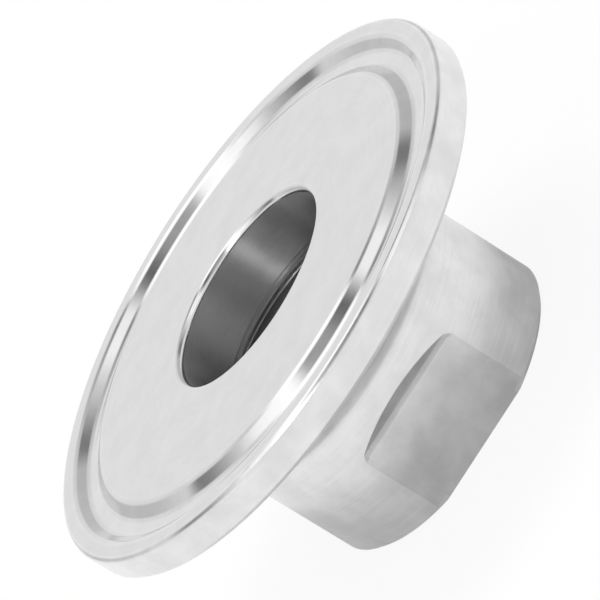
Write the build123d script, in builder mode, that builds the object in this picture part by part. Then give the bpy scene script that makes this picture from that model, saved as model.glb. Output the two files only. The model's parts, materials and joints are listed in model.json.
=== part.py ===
from build123d import *
from math import radians, tan
import os

# A clamp ferrule turned in one piece: a hub with a female pipe thread and two wrench flats,
# a smooth bore, and a clamp flange with a gasket groove in its sealing face.
# Lengths are in millimetres and angles in degrees. The origin is the centre of the hub's end
# face, and +Z runs along the bore, out of the sealing face.

# From the hub's end face to the sealing face
overall_length = 20.0

# Clamp flange, whose sealing face is a flat land each side of the gasket groove and whose
# sloping back runs into the hub in a root radius
flange_diameter = 50.5
rim_thickness = 2.95
flange_back_angle = 20.0
flange_root_radius = 2.0
rim_edge_chamfer = 0.25
rim_back_chamfer = 0.25

# Gasket groove, measured across its edges before they are rounded
outer_land_width = 1.7
groove_width = 3.6
groove_depth = 0.9
groove_wall_angle = 38.0
groove_edge_radius = 1.0
groove_floor_radius = 1.0

# Hole for a G 1/2 pipe thread, whose wall is the thread's root
thread_major_diameter = 20.955
thread_height = 1.162
thread_hole_depth = 14.8
thread_end_angle = 45.0
thread_entry_chamfer = 0.6

# Smooth bore, smaller in radius than the thread's crests by this step
bore_step = 0.25
bore_edge_chamfer = 0.25

# Hub, with a wall of this thickness around the thread's root
hub_wall = 3.0
hub_end_chamfer = 0.4

# Wrench flats, milled this deep from the hub's end up to a sloping shoulder
flat_depth = 1.5
flat_length = 8.0
flat_shoulder_angle = 45.0
flat_shoulder_radius = 0.5

# How far the milling cutter runs past the metal it takes off
cutter_overrun = 0.5

# Radii of the turned surfaces
flange_radius = flange_diameter / 2
thread_radius = thread_major_diameter / 2
bore_radius = thread_radius - thread_height - bore_step
hub_radius = thread_radius + hub_wall

# Where the sloping back of the flange leaves the rim, and where it reaches the hub
rim_back_z = overall_length - rim_thickness
hub_top_z = rim_back_z - (flange_radius - hub_radius) * tan(radians(flange_back_angle))

# The threaded hole ends in a cone that narrows to the bore
thread_end_height = (thread_radius - bore_radius) * tan(radians(thread_end_angle))
thread_end_z = thread_hole_depth - thread_end_height

# The groove's four corners
groove_floor_z = overall_length - groove_depth
groove_wall_run = groove_depth / tan(radians(groove_wall_angle))
groove_outer_edge = flange_radius - outer_land_width
groove_inner_edge = groove_outer_edge - groove_width
groove_outer_floor = groove_outer_edge - groove_wall_run
groove_inner_floor = groove_inner_edge + groove_wall_run

# Side view of the cut for a flat: from the flat's plane out past the hub
flat_y = hub_radius - flat_depth
cut_y = hub_radius + cutter_overrun
cut_top_z = flat_length + (flat_depth + cutter_overrun) * tan(radians(flat_shoulder_angle))


def corner(sketch, across, up):
    """The corner of a sketch that lies nearest to a point."""
    return sketch.vertices().sort_by_distance((across, up))[0]


with BuildPart() as adapter_body:
    # Half section of the turned body, radius across and height up
    with BuildSketch(Plane.XZ) as half_section:
        with BuildLine():
            Polyline(
                (thread_radius + thread_entry_chamfer, 0),
                (hub_radius, 0),
                (hub_radius, hub_top_z),
                (flange_radius, rim_back_z),
                (flange_radius, overall_length),
                (bore_radius, overall_length),
                (bore_radius, thread_hole_depth),
                (thread_radius, thread_end_z),
                (thread_radius, thread_entry_chamfer),
                close=True,
            )
        make_face()
        chamfer(corner(half_section, hub_radius, 0), length=hub_end_chamfer)
        fillet(corner(half_section, hub_radius, hub_top_z), radius=flange_root_radius)
        chamfer(corner(half_section, flange_radius, rim_back_z), length=rim_back_chamfer)
        chamfer(corner(half_section, flange_radius, overall_length), length=rim_edge_chamfer)
        chamfer(corner(half_section, bore_radius, overall_length), length=bore_edge_chamfer)

        # The gasket groove is cut first and its edges and floor are rounded after
        with BuildLine():
            Polyline(
                (groove_inner_edge, overall_length),
                (groove_inner_floor, groove_floor_z),
                (groove_outer_floor, groove_floor_z),
                (groove_outer_edge, overall_length),
                close=True,
            )
        make_face(mode=Mode.SUBTRACT)
        fillet(corner(half_section, groove_inner_edge, overall_length), radius=groove_edge_radius)
        fillet(corner(half_section, groove_outer_edge, overall_length), radius=groove_edge_radius)
        fillet(corner(half_section, groove_inner_floor, groove_floor_z), radius=groove_floor_radius)
        fillet(corner(half_section, groove_outer_floor, groove_floor_z), radius=groove_floor_radius)
    revolve(axis=Axis.Z)

    # Both flats are cut straight across the hub, on opposite sides
    with BuildSketch(Plane.YZ) as flat_section:
        with BuildLine():
            Polyline(
                (flat_y, -cutter_overrun),
                (cut_y, -cutter_overrun),
                (cut_y, cut_top_z),
                (flat_y, flat_length),
                close=True,
            )
        make_face()
        fillet(corner(flat_section, flat_y, flat_length), radius=flat_shoulder_radius)
        mirror(about=Plane.YZ)
    extrude(amount=hub_radius, both=True, mode=Mode.SUBTRACT)

os.makedirs("parts", exist_ok=True)
adapter_body.part.label = "adapter_body"
export_step(adapter_body.part, "parts/adapter_body.step")
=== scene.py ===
import json
from collections import namedtuple
from math import asin, cos, hypot, pi, radians, sin, tan

import bmesh
import bpy
from mathutils import Matrix, Vector


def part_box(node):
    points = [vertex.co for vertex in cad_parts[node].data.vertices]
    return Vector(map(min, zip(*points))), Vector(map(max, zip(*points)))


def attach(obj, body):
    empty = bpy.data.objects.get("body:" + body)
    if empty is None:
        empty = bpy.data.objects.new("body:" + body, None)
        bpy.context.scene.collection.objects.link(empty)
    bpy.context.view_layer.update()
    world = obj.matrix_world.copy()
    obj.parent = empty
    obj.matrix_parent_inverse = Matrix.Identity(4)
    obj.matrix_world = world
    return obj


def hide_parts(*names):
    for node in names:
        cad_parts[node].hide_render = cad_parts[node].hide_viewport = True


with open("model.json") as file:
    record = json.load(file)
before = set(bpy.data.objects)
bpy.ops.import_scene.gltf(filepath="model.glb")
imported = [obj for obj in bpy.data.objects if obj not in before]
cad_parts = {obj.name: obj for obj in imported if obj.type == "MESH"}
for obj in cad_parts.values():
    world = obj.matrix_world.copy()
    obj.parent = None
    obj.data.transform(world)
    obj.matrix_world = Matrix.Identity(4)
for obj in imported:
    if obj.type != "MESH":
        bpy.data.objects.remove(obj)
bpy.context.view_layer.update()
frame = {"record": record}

MM = 0.001
BODY = "adapter_body"

# Sizes that the frame gives, in millimetres
mounts = {mount["name"]: mount for mount in frame["record"]["mounts"]}
box_low, box_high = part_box(BODY)
overall_length = (box_high.z - box_low.z) / MM
flange_radius = (box_high.x - box_low.x) / 2 / MM
bore_radius = mounts["flow_bore"]["dims"]["r_mm"]
thread_radius = mounts["pipe_thread"]["dims"]["r_mm"]
flat_y = mounts["wrench_flat_back"]["pos_m"][1] / MM

# Sizes that the frame doesn't name, the same as the solid's, in millimetres
rim_thickness = 2.95
rim_back_chamfer = 0.25
flange_back_angle = radians(20)
flange_root_radius = 2.0
outer_land_width = 1.7
groove_width = 3.6
groove_depth = 0.9
groove_wall_angle = radians(38)
groove_edge_radius = 1.0
groove_floor_radius = 1.0
hub_wall = 3.0
hub_end_chamfer = 0.4
thread_height = 1.162
thread_hole_depth = 14.8
thread_end_angle = radians(45)
thread_entry_chamfer = 0.6
flat_length = 8.0
flat_shoulder_angle = radians(45)

# Edges that are rounder here than in the solid
rim_edge_radius = 0.5
bore_edge_radius = 0.55
flat_shoulder_radius = 1.0

# The pipe thread, a rounded 55 degree form that stops short of the hole's end and runs out there.
# It is raised by a share of its pitch, to suit the lines seen in the bore.
inch = 25.4
turns_per_inch = 14
thread_pitch = inch / turns_per_inch
thread_flank = radians(27.5)
thread_round_share = 0.137329
thread_round = thread_round_share * thread_pitch
thread_top = 14.3
thread_runout = 0.5
thread_start = 0.66
turns_below_hub = 2

# How finely the body is drawn
columns_round = 240
arc_step = radians(7.5)
thread_arc_step = radians(21)
edge_support = 0.02
shortest_supported = 4 * edge_support
sharp_angle = radians(16)
join_distance = 1e-4

# How far the outline of a flat's shoulder runs on past the hub
shoulder_overrun = 1

# How far a point may lie off a flat or cylindrical surface and still count as on it
surface_slack = 1e-3
round_slack = 0.01

# These keep a comparison clear of rounding, and a division clear of nought
rounding_slack = 1e-9
least_sine = 1e-6

# A flat's finish ends this far below flat_length, and its shoulder's starts this far above it.
# Between them the flat's rounded corner gets a paler tone, a painted highlight.
painted_highlight_below = 0.36
corner_above = 0.3

hub_radius = thread_radius + hub_wall
crest_radius = thread_radius - thread_height
rim_back_z = overall_length - rim_thickness
hub_top_z = rim_back_z - (flange_radius - hub_radius) * tan(flange_back_angle)
hub_join_z = (flat_length + hub_top_z) / 2


def rounded_outline(corners, step):
    """Points along a run of corners (across, up, radius), with an arc where there is a radius.

    A straight stretch gets a point close to each of its ends, so that the shading of a rounded
    corner doesn't spread over the flat beside it.
    """
    runs = []
    for index, (across, up, radius) in enumerate(corners):
        here = Vector((across, up))
        if radius == 0:
            runs.append([here])
            continue
        before = (Vector(corners[index - 1][:2]) - here).normalized()
        after = (Vector(corners[index + 1][:2]) - here).normalized()
        half_turn = (pi - before.angle(after)) / 2
        centre = here + (before + after).normalized() * (radius / cos(half_turn))
        first = here + before * (radius * tan(half_turn)) - centre
        last = here + after * (radius * tan(half_turn)) - centre
        turn = 2 * half_turn if first.cross(last) > 0 else -2 * half_turn
        steps = max(2, round(2 * half_turn / step))
        runs.append([centre + Matrix.Rotation(turn * k / steps, 2) @ first for k in range(steps + 1)])
    outline = list(runs[0])
    for run in runs[1:]:
        gap = run[0] - outline[-1]
        if gap.length > shortest_supported:
            along = gap.normalized() * edge_support
            outline += [outline[-1] + along, run[0] - along]
        outline += run
    return [(point.x, point.y) for point in outline]


def flange_outline():
    """The section from the hub's top over the back, rim and face, and down the bore to the thread."""
    floor_z = overall_length - groove_depth
    wall_run = groove_depth / tan(groove_wall_angle)
    outer_edge = flange_radius - outer_land_width
    inner_edge = outer_edge - groove_width
    chamfer_r = flange_radius - rim_back_chamfer * cos(flange_back_angle)
    chamfer_z = rim_back_z - rim_back_chamfer * sin(flange_back_angle)
    thread_end_z = thread_hole_depth - (crest_radius - bore_radius) * tan(thread_end_angle)
    return rounded_outline([
        (hub_radius, hub_join_z, 0),
        (hub_radius, hub_top_z, flange_root_radius),
        (chamfer_r, chamfer_z, 0),
        (flange_radius, rim_back_z + rim_back_chamfer, 0),
        (flange_radius, overall_length, rim_edge_radius),
        (outer_edge, overall_length, groove_edge_radius),
        (outer_edge - wall_run, floor_z, groove_floor_radius),
        (inner_edge + wall_run, floor_z, groove_floor_radius),
        (inner_edge, overall_length, groove_edge_radius),
        (bore_radius, overall_length, bore_edge_radius),
        (bore_radius, thread_hole_depth, 0),
        (crest_radius, thread_end_z, 0),
        (crest_radius, thread_top, 0),
    ], arc_step)


def shoulder_outline():
    """A flat and its sloping shoulder from the side, as (distance from the axis, height)."""
    reach = hub_radius + shoulder_overrun
    top = flat_length + (reach - flat_y) * tan(flat_shoulder_angle)
    return rounded_outline([
        (flat_y, hub_end_chamfer, 0),
        (flat_y, flat_length, flat_shoulder_radius),
        (reach, top, 0),
    ], arc_step)


def hub_column(angle, shoulder):
    """Points (r, z) up the hub's side at one angle, from its end face to under its top.

    Where a flat lies at this angle they follow it up its shoulder, as far as the shoulder comes
    out at the round of the hub, and the rest of the shoulder's points gather there.
    """
    across = max(abs(sin(angle)), least_sine)
    out = max(hub_radius * across, flat_y)
    column = [
        (min(hub_radius - hub_end_chamfer, flat_y / across), 0),
        (min(hub_radius, flat_y / across), hub_end_chamfer),
    ]
    for y, z in shoulder:
        if y <= out + rounding_slack:
            column.append((min(hub_radius, y / across), z))
            last_y, last_z = y, z
        else:
            last_z += (z - last_z) * (out - last_y) / (y - last_y)
            last_y = out
            column.append((hub_radius, last_z))
    column.append((hub_radius, (last_z + hub_join_z) / 2))
    column.append((hub_radius, hub_join_z))
    return column


def column_angles():
    """Angles round the body, with one on each long edge of the flats."""
    angles = [2 * pi * k / columns_round for k in range(columns_round)]
    edge = asin(flat_y / hub_radius)
    for wanted in (edge, pi - edge, pi + edge, 2 * pi - edge):
        nearest = min(range(columns_round), key=lambda k: abs(angles[k] - wanted))
        angles[nearest] = wanted
    return angles


def thread_turn():
    """One pitch of the thread as (share of the pitch, depth below the crest)."""
    apex = thread_pitch / 4 / tan(thread_flank)
    middle = thread_height / 2
    outline = rounded_outline([
        (-thread_pitch / 4, middle, 0),
        (0, middle - apex, thread_round),
        (thread_pitch / 2, middle + apex, thread_round),
        (thread_pitch * 3 / 4, middle, 0),
    ], thread_arc_step)
    return [(along / thread_pitch, depth) for along, depth in outline[:-1]]


def thread_column(angle, turn_points):
    """Points (r, z) up the thread at one angle, from the hub's end face to the thread's top.

    The rows climb with the thread, and those past either end of the thread gather there. The
    ridges fade out gently below the top.
    """
    entry_r = thread_radius + thread_entry_chamfer
    column = []
    for turn in range(-turns_below_hub, int(thread_top / thread_pitch) + 1):
        for share, depth in turn_points:
            z = thread_pitch * (turn + share + thread_start + angle / (2 * pi))
            inside = min(max(z, 0), thread_top)
            fade = min(1, (thread_top - inside) / thread_runout)
            r = crest_radius + depth * fade * fade * (3 - 2 * fade)
            column.append((max(r, entry_r - inside), inside))
    return column


def flange_finish(point):
    """Which finish the flange has at a point; the bore's finish is darkened as painted shade inside the
    hole.
    """
    r = hypot(point.x, point.y)
    z = point.z
    if r < crest_radius + surface_slack and z < overall_length - bore_edge_radius:
        return "bore"
    if r > flange_radius - rim_edge_radius and z < overall_length - surface_slack:
        return "rim"
    if z < rim_back_z:
        return "hub"
    return "face" if z > overall_length - surface_slack else "groove"


def hub_finish(point):
    """Which finish the hub has at a point: milled on a flat and its shoulder, else turned, with a paler
    strip on the flat's rounded corner as a painted highlight.
    """
    on_round = hypot(point.x, point.y) > hub_radius - round_slack
    if on_round or abs(point.y) < flat_y - surface_slack:
        return "hub"
    if point.z > flat_length + corner_above:
        return "shoulder"
    # The strip at the flat's rounded corner is painted paler, a painted highlight
    return "flat_corner_painted_highlight" if point.z > flat_length - painted_highlight_below else "flat"


def thread_finish(point):
    """The threaded hole has one finish all over, with a low tone that is painted shade inside the hole.
    """
    return "thread"


def add_sheet(mesh, angles, columns, inward, finish_at, seam_shift=0):
    """Faces between neighbouring columns, and from the last column back to the first.

    A thread has climbed seam_shift rows when it comes round to the first column again.
    """
    grid = []
    for angle, column in zip(angles, columns):
        turned = [(r * cos(angle), r * sin(angle), z) for r, z in column]
        grid.append([mesh.verts.new(Vector(point) * MM) for point in turned])
    rows = len(grid[0])
    for index, left in enumerate(grid):
        last = index + 1 == len(grid)
        right = grid[0] if last else grid[index + 1]
        shift = seam_shift if last else 0
        for row in range(rows - 1 - shift):
            corners = [left[row], right[row + shift], right[row + 1 + shift], left[row + 1]]
            middle = sum((corner.co for corner in corners), Vector()) / len(corners) / MM
            face = mesh.faces.new(reversed(corners) if inward else corners)
            face.smooth = True
            face.material_index = FINISH_NAMES.index(finish_at(middle))


def build_body(name):
    """The whole fitting as one closed skin, with its thread."""
    mesh = bmesh.new()
    angles = column_angles()
    shoulder = shoulder_outline()
    turn_points = thread_turn()
    end_r = thread_radius + thread_entry_chamfer
    hub = [[(end_r, 0)] + hub_column(angle, shoulder) for angle in angles]
    flange = [flange_outline()] * len(angles)
    thread = [thread_column(angle, turn_points) for angle in angles]
    add_sheet(mesh, angles, hub, False, hub_finish)
    add_sheet(mesh, angles, flange, False, flange_finish)
    add_sheet(mesh, angles, thread, True, thread_finish, seam_shift=len(turn_points))
    bmesh.ops.remove_doubles(mesh, verts=mesh.verts, dist=join_distance * MM)
    bmesh.ops.dissolve_degenerate(mesh, edges=mesh.edges, dist=join_distance * MM)
    thread_index = FINISH_NAMES.index("thread")
    for edge in mesh.edges:
        in_thread = all(face.material_index == thread_index for face in edge.link_faces)
        edge.smooth = in_thread or edge.calc_face_angle() < sharp_angle
    data = bpy.data.meshes.new(name)
    mesh.to_mesh(data)
    mesh.free()
    body = bpy.data.objects.new(name, data)
    bpy.context.scene.collection.objects.link(body)
    return body


class Nodes:
    """Short calls for adding shader nodes to one node tree."""

    def __init__(self, owner):
        owner.use_nodes = True
        self.tree = owner.node_tree

    def add(self, kind, inputs=(), **settings):
        """A node with its settings, and its inputs as sockets to join or values to set."""
        node = self.tree.nodes.new(kind)
        for name, value in settings.items():
            setattr(node, name, value)
        for key, value in dict(inputs).items():
            if isinstance(value, bpy.types.NodeSocket):
                self.tree.links.new(value, node.inputs[key])
            else:
                node.inputs[key].default_value = value
        return node

    def math(self, operation, first, second=0.0):
        """The result of one sum."""
        return self.add("ShaderNodeMath", {0: first, 1: second}, operation=operation).outputs[0]

    def ramp(self, value, low, high, start=0.0, end=1.0):
        """The value between low and high, spread smoothly over start to end."""
        inputs = {"Value": value, "From Min": low, "From Max": high, "To Min": start, "To Max": end}
        return self.add("ShaderNodeMapRange", inputs, interpolation_type="SMOOTHSTEP").outputs[0]

    def noise(self, vector, scale, detail, roughness=0.5):
        """A noise value at a place."""
        inputs = {"Vector": vector, "Scale": scale, "Detail": detail, "Roughness": roughness}
        return self.add("ShaderNodeTexNoise", inputs).outputs[0]


# Tool lines, drawn by noise: how dense it is over the radius and the height of a turned surface,
# how dense up a milled one, where it is thinner to draw its marks out, and its detail
turned_across = 2.0
turned_up = 3.0
milled_up = 0.25
line_detail = 3.0

# Clouds, drawn by noise: how dense it is, its detail and roughness, how far from its middle value
# it changes the steel's look, and by what share it changes the gloss
cloud_scale = 0.3
cloud_detail = 6.0
cloud_roughness = 0.62
cloud_spread = 0.22
gloss_share = 0.2

# The shader's grain is turned a quarter, so that highlights stretch across the tool lines
grain_turn = 0.25

# Finishes of the steel: the shader's tone, roughness and anisotropy, the scale and the height in
# millimetres of the tool lines, how much they count beside the clouds, by what share both change
# the tone, and whether a mill or a lathe made them. Some tones hold painted light, as noted below.
Finish = namedtuple("Finish", [
    "tone", "roughness", "anisotropy", "line_scale", "line_height", "line_share", "tone_share", "milled",
])
FINISHES = {
    "face": Finish(0.68, 0.16, 0.4, 4, 0.0003, 0.4, 0.035, False),
    "groove": Finish(0.7, 0.13, 0.5, 5, 0.0004, 0.4, 0.04, False),
    "rim": Finish(0.75, 0.22, 0.5, 4, 0.0004, 0.3, 0.075, False),
    "hub": Finish(0.75, 0.22, 0.4, 2, 0.0003, 0.4, 0.08, False),
    "flat": Finish(0.66, 0.22, 0.0, 2, 0.0001, 0.15, 0.1, True),
    # The flat's rounded corner has a paler tone than the flat, a painted highlight
    "flat_corner_painted_highlight": Finish(0.83, 0.22, 0.0, 2, 0.0001, 0.15, 0.08, True),
    "shoulder": Finish(0.74, 0.22, 0.0, 2, 0.0001, 0.15, 0.08, True),
    # The bore's and the thread's low tone is painted shade, darker inside the hole
    "bore": Finish(0.42, 0.48, 1.0, 5, 0.0008, 0.6, 0.12, False),
    "thread": Finish(0.42, 0.36, 0.3, 5, 0.0008, 0.4, 0.06, False),
}
FINISH_NAMES = list(FINISHES)


def lathe_vector(nodes, place):
    """A vector that changes slowly round the axis and quickly over the section, in millimetres.

    It makes noise into turning lines.
    """
    axes = nodes.add("ShaderNodeSeparateXYZ", {0: place}).outputs
    flat_place = nodes.add("ShaderNodeCombineXYZ", {0: axes[0], 1: axes[1]}).outputs[0]
    r = nodes.add("ShaderNodeVectorMath", {0: flat_place}, operation="LENGTH").outputs["Value"]
    unit = nodes.add("ShaderNodeVectorMath", {0: flat_place}, operation="NORMALIZE").outputs[0]
    unit_axes = nodes.add("ShaderNodeSeparateXYZ", {0: unit}).outputs
    by_radius = nodes.math("MULTIPLY", r, turned_across / MM)
    by_height = nodes.math("MULTIPLY", axes[2], turned_up / MM)
    section = nodes.math("ADD", by_radius, by_height)
    return nodes.add("ShaderNodeCombineXYZ", {0: unit_axes[0], 1: unit_axes[1], 2: section}).outputs[0]


def steel(name, finish):
    """Stainless steel with fine tool lines, faint clouds and small differences in gloss."""
    material = bpy.data.materials.new(name)
    nodes = Nodes(material)
    shader = nodes.tree.nodes["Principled BSDF"]
    place = nodes.add("ShaderNodeTexCoord").outputs["Object"]
    if finish.milled:
        stretch = {"Vector": place, "Scale": (1 / MM, 1 / MM, milled_up / MM)}
        lines_at = nodes.add("ShaderNodeMapping", stretch).outputs[0]
    else:
        lines_at = lathe_vector(nodes, place)
    lines = nodes.noise(lines_at, finish.line_scale, line_detail)
    clouds = nodes.noise(place, cloud_scale / MM, cloud_detail, cloud_roughness)
    mixed = nodes.math("ADD", clouds, nodes.math("MULTIPLY", lines, finish.line_share))
    middle = 0.5 * (1 + finish.line_share)
    low = middle - cloud_spread
    high = middle + cloud_spread
    darkest = finish.tone * (1 - finish.tone_share)
    palest = finish.tone * (1 + finish.tone_share)
    tint = nodes.ramp(mixed, low, high, darkest, palest)
    colour = nodes.add("ShaderNodeCombineColor", {0: tint, 1: tint, 2: tint}).outputs[0]
    smoothest = finish.roughness * (1 - gloss_share)
    roughest = finish.roughness * (1 + gloss_share)
    gloss = nodes.ramp(mixed, low, high, smoothest, roughest)
    relief = {"Strength": 1.0, "Distance": finish.line_height * MM, "Height": lines}
    bump = nodes.add("ShaderNodeBump", relief).outputs[0]
    tangent = nodes.add("ShaderNodeTangent", direction_type="RADIAL", axis="Z").outputs[0]
    links = {"Base Color": colour, "Roughness": gloss, "Normal": bump, "Tangent": tangent}
    for key, socket in links.items():
        nodes.tree.links.new(socket, shader.inputs[key])
    shader.inputs["Metallic"].default_value = 1
    shader.inputs["Anisotropic"].default_value = finish.anisotropy
    shader.inputs["Anisotropic Rotation"].default_value = grain_turn
    return material


body = build_body("stainless_body")
for name, finish in FINISHES.items():
    body.data.materials.append(steel("steel_" + name, finish))
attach(body, "root")
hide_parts(BODY)

# Camera, at the photograph's angle
camera_place = Vector((27.189, -447.748, 181.976)) * MM
camera_azimuth = radians(3.3)
camera_elevation = radians(20.377)
camera_roll = radians(-58.147)
camera_lens = 355.4
camera_sensor = 36

back = Vector((
    sin(camera_azimuth) * cos(camera_elevation),
    -cos(camera_azimuth) * cos(camera_elevation),
    sin(camera_elevation),
))
level_right = Vector((cos(camera_azimuth), sin(camera_azimuth), 0))
right = level_right * cos(camera_roll) + back.cross(level_right) * sin(camera_roll)
up = back.cross(right)
camera_data = bpy.data.cameras.new("camera")
camera_data.lens = camera_lens
camera_data.sensor_width = camera_sensor
camera = bpy.data.objects.new("camera", camera_data)
camera.matrix_world = Matrix((right, up, back)).transposed().to_4x4()
camera.location = camera_place
bpy.context.scene.collection.objects.link(camera)
bpy.context.scene.camera = camera

# Floor, which runs on as the backdrop: rays from the camera and mirrored rays see part of it as
# plain white, and the rest keeps the shadow of the adapter
floor_reach = 3.0
floor_tone = 0.68
white_share_seen = 0.9
white_share_mirrored = 0.12

floor_data = bpy.data.meshes.new("floor")
floor_corners = [
    (-floor_reach, -floor_reach, 0),
    (floor_reach, -floor_reach, 0),
    (floor_reach, floor_reach, 0),
    (-floor_reach, floor_reach, 0),
]
floor_data.from_pydata(floor_corners, [], [(0, 1, 2, 3)])
floor = bpy.data.objects.new("floor", floor_data)
bpy.context.scene.collection.objects.link(floor)
floor_material = bpy.data.materials.new("floor")
nodes = Nodes(floor_material)
rays = nodes.add("ShaderNodeLightPath").outputs
mirrored = nodes.math("ADD", rays["Is Glossy Ray"], rays["Is Transmission Ray"])
seen_part = nodes.math("MULTIPLY", rays["Is Camera Ray"], white_share_seen)
white = nodes.math("ADD", seen_part, nodes.math("MULTIPLY", mirrored, white_share_mirrored))
matt_colour = (floor_tone, floor_tone, floor_tone, 1)
matt = nodes.add("ShaderNodeBsdfDiffuse", {"Color": matt_colour}).outputs[0]
glow = nodes.add("ShaderNodeEmission", {"Color": (1, 1, 1, 1), "Strength": 1.0}).outputs[0]
mixed_floor = nodes.add("ShaderNodeMixShader", {0: white, 1: matt, 2: glow}).outputs[0]
nodes.tree.links.new(mixed_floor, nodes.tree.nodes["Material Output"].inputs["Surface"])
floor_data.materials.append(floor_material)

# Soft lamp overhead for the floor alone, so the metal doesn't mirror it
lamp_energy = 1.8
lamp_spread = radians(30)
lamp_turn = (radians(-8), radians(7), 0)
lamp_data = bpy.data.lights.new("lamp", "SUN")
lamp_data.energy = lamp_energy
lamp_data.angle = lamp_spread
lamp = bpy.data.objects.new("lamp", lamp_data)
lamp.rotation_euler = lamp_turn
lamp.visible_glossy = False
bpy.context.scene.collection.objects.link(lamp)

# Studio, a white dome with paler and darker panels, which the turned surfaces gather into streaks.
# A panel is (place, brightness), and its place is the side that a surface has to face to mirror it
# to the camera, in degrees from -Y towards +X. A fan of panels serves surfaces that slope more than
# its first tilt, and fully those that slope more than its full tilt. It reaches down to its lowest
# elevation, or to the floor at 0. The first three fans are for the groove and the rounded edges.
# The fourth keeps the sky near the floor plain, as the sealing face mirrors it in low views from
# the sides. The last is for the bore, and its one narrow bright panel makes the bore's streak.
Fan = namedtuple("Fan", "first_tilt full_tilt lowest_elevation panels")
dome_level = 1.0
elevation_blur = 3
fans = [
    Fan(8, 12, 0, [
        (-180, 1.0), (-60, 0.95), (-28, 0.98), (-18, 1.15), (-10, 1.45), (6, 1.45),
        (13, 1.15), (20, 0.86), (40, 0.9), (75, 0.97), (180, 1.0),
    ]),
    Fan(14, 18, 0, [
        (-180, 1.0), (-105, 0.95), (-60, 0.92), (-38, 0.9), (-27, 0.8), (-21, 1.0), (-16, 1.5),
        (11, 1.5), (16, 1.25), (20, 0.28), (25, 0.36), (34, 0.56), (46, 0.68), (60, 0.84),
        (80, 0.92), (180, 1.0),
    ]),
    Fan(28, 36, 0, [
        (-180, 1.0), (-115, 1.0), (-95, 0.64), (-62, 0.68), (-50, 0.92), (-46, 0.25), (-41, 0.3),
        (-32, 0.72), (-24, 1.25), (-14, 1.45), (-9, 1.4), (-5, 0.45), (5, 0.4), (11, 0.1),
        (14, 0.28), (20, 1.2), (30, 1.25), (38, 0.85), (46, 0.52), (51, 0.26), (56, 0.26),
        (62, 0.62), (92, 0.64), (115, 1.0), (180, 1.0),
    ]),
    Fan(54, 62, 0, [
        (-180, 0.95), (180, 0.95),
    ]),
    Fan(54, 62, 26, [
        (-180, 0.8), (-100, 0.5), (-95, 0.05), (-45, 0.05), (-38, 0.08), (-34, 0.15), (-30, 0.7),
        (-25, 1.25), (-17, 1.35), (-15, 8.0), (-9, 8.0), (-7, 1.2), (-3, 0.7), (8, 0.6),
        (13, 0.8), (20, 1.35), (29, 1.3), (38, 1.0), (43, 0.08), (47, 0.05), (95, 0.05),
        (100, 0.5), (180, 0.8),
    ]),
]


def fan_level(nodes, share, panels):
    """The brightness of a fan of panels round its full turn."""
    ramp = nodes.add("ShaderNodeValToRGB", {0: share})
    stops = ramp.color_ramp.elements
    stops.remove(stops[0])
    for index, (angle, brightness) in enumerate(panels):
        position = (angle + 180) / 360
        stop = stops[0] if index == 0 else stops.new(position)
        stop.position = position
        stop.color = (brightness, brightness, brightness, 1)
    return ramp.outputs[0]


world = bpy.data.worlds.new("studio")
nodes = Nodes(world)
direction = nodes.add("ShaderNodeTexCoord").outputs["Generated"]
height = nodes.add("ShaderNodeSeparateXYZ", {0: direction}).outputs[2]
between = nodes.add("ShaderNodeVectorMath", {0: direction, 1: back}, operation="ADD").outputs[0]
halfway = nodes.add("ShaderNodeVectorMath", {0: between}, operation="NORMALIZE").outputs[0]
axes = nodes.add("ShaderNodeSeparateXYZ", {0: halfway}).outputs
side = nodes.math("ARCTAN2", axes[0], nodes.math("MULTIPLY", axes[1], -1))
share = nodes.math("ADD", nodes.math("DIVIDE", side, 2 * pi), 0.5)
level = dome_level
for fan in fans:
    taken = nodes.ramp(axes[2], cos(radians(fan.first_tilt)), cos(radians(fan.full_tilt)))
    if fan.lowest_elevation > 0:
        clear = sin(radians(fan.lowest_elevation - elevation_blur))
        full = sin(radians(fan.lowest_elevation + elevation_blur))
        taken = nodes.math("MULTIPLY", taken, nodes.ramp(height, clear, full))
    inputs = {"Factor": taken, "A": level, "B": fan_level(nodes, share, fan.panels)}
    level = nodes.add("ShaderNodeMix", inputs, data_type="FLOAT").outputs[0]
background = nodes.tree.nodes["Background"]
nodes.tree.links.new(level, background.inputs["Strength"])
background.inputs["Color"].default_value = (1, 1, 1, 1)
bpy.context.scene.world = world
bpy.context.scene.view_settings.view_transform = "Standard"
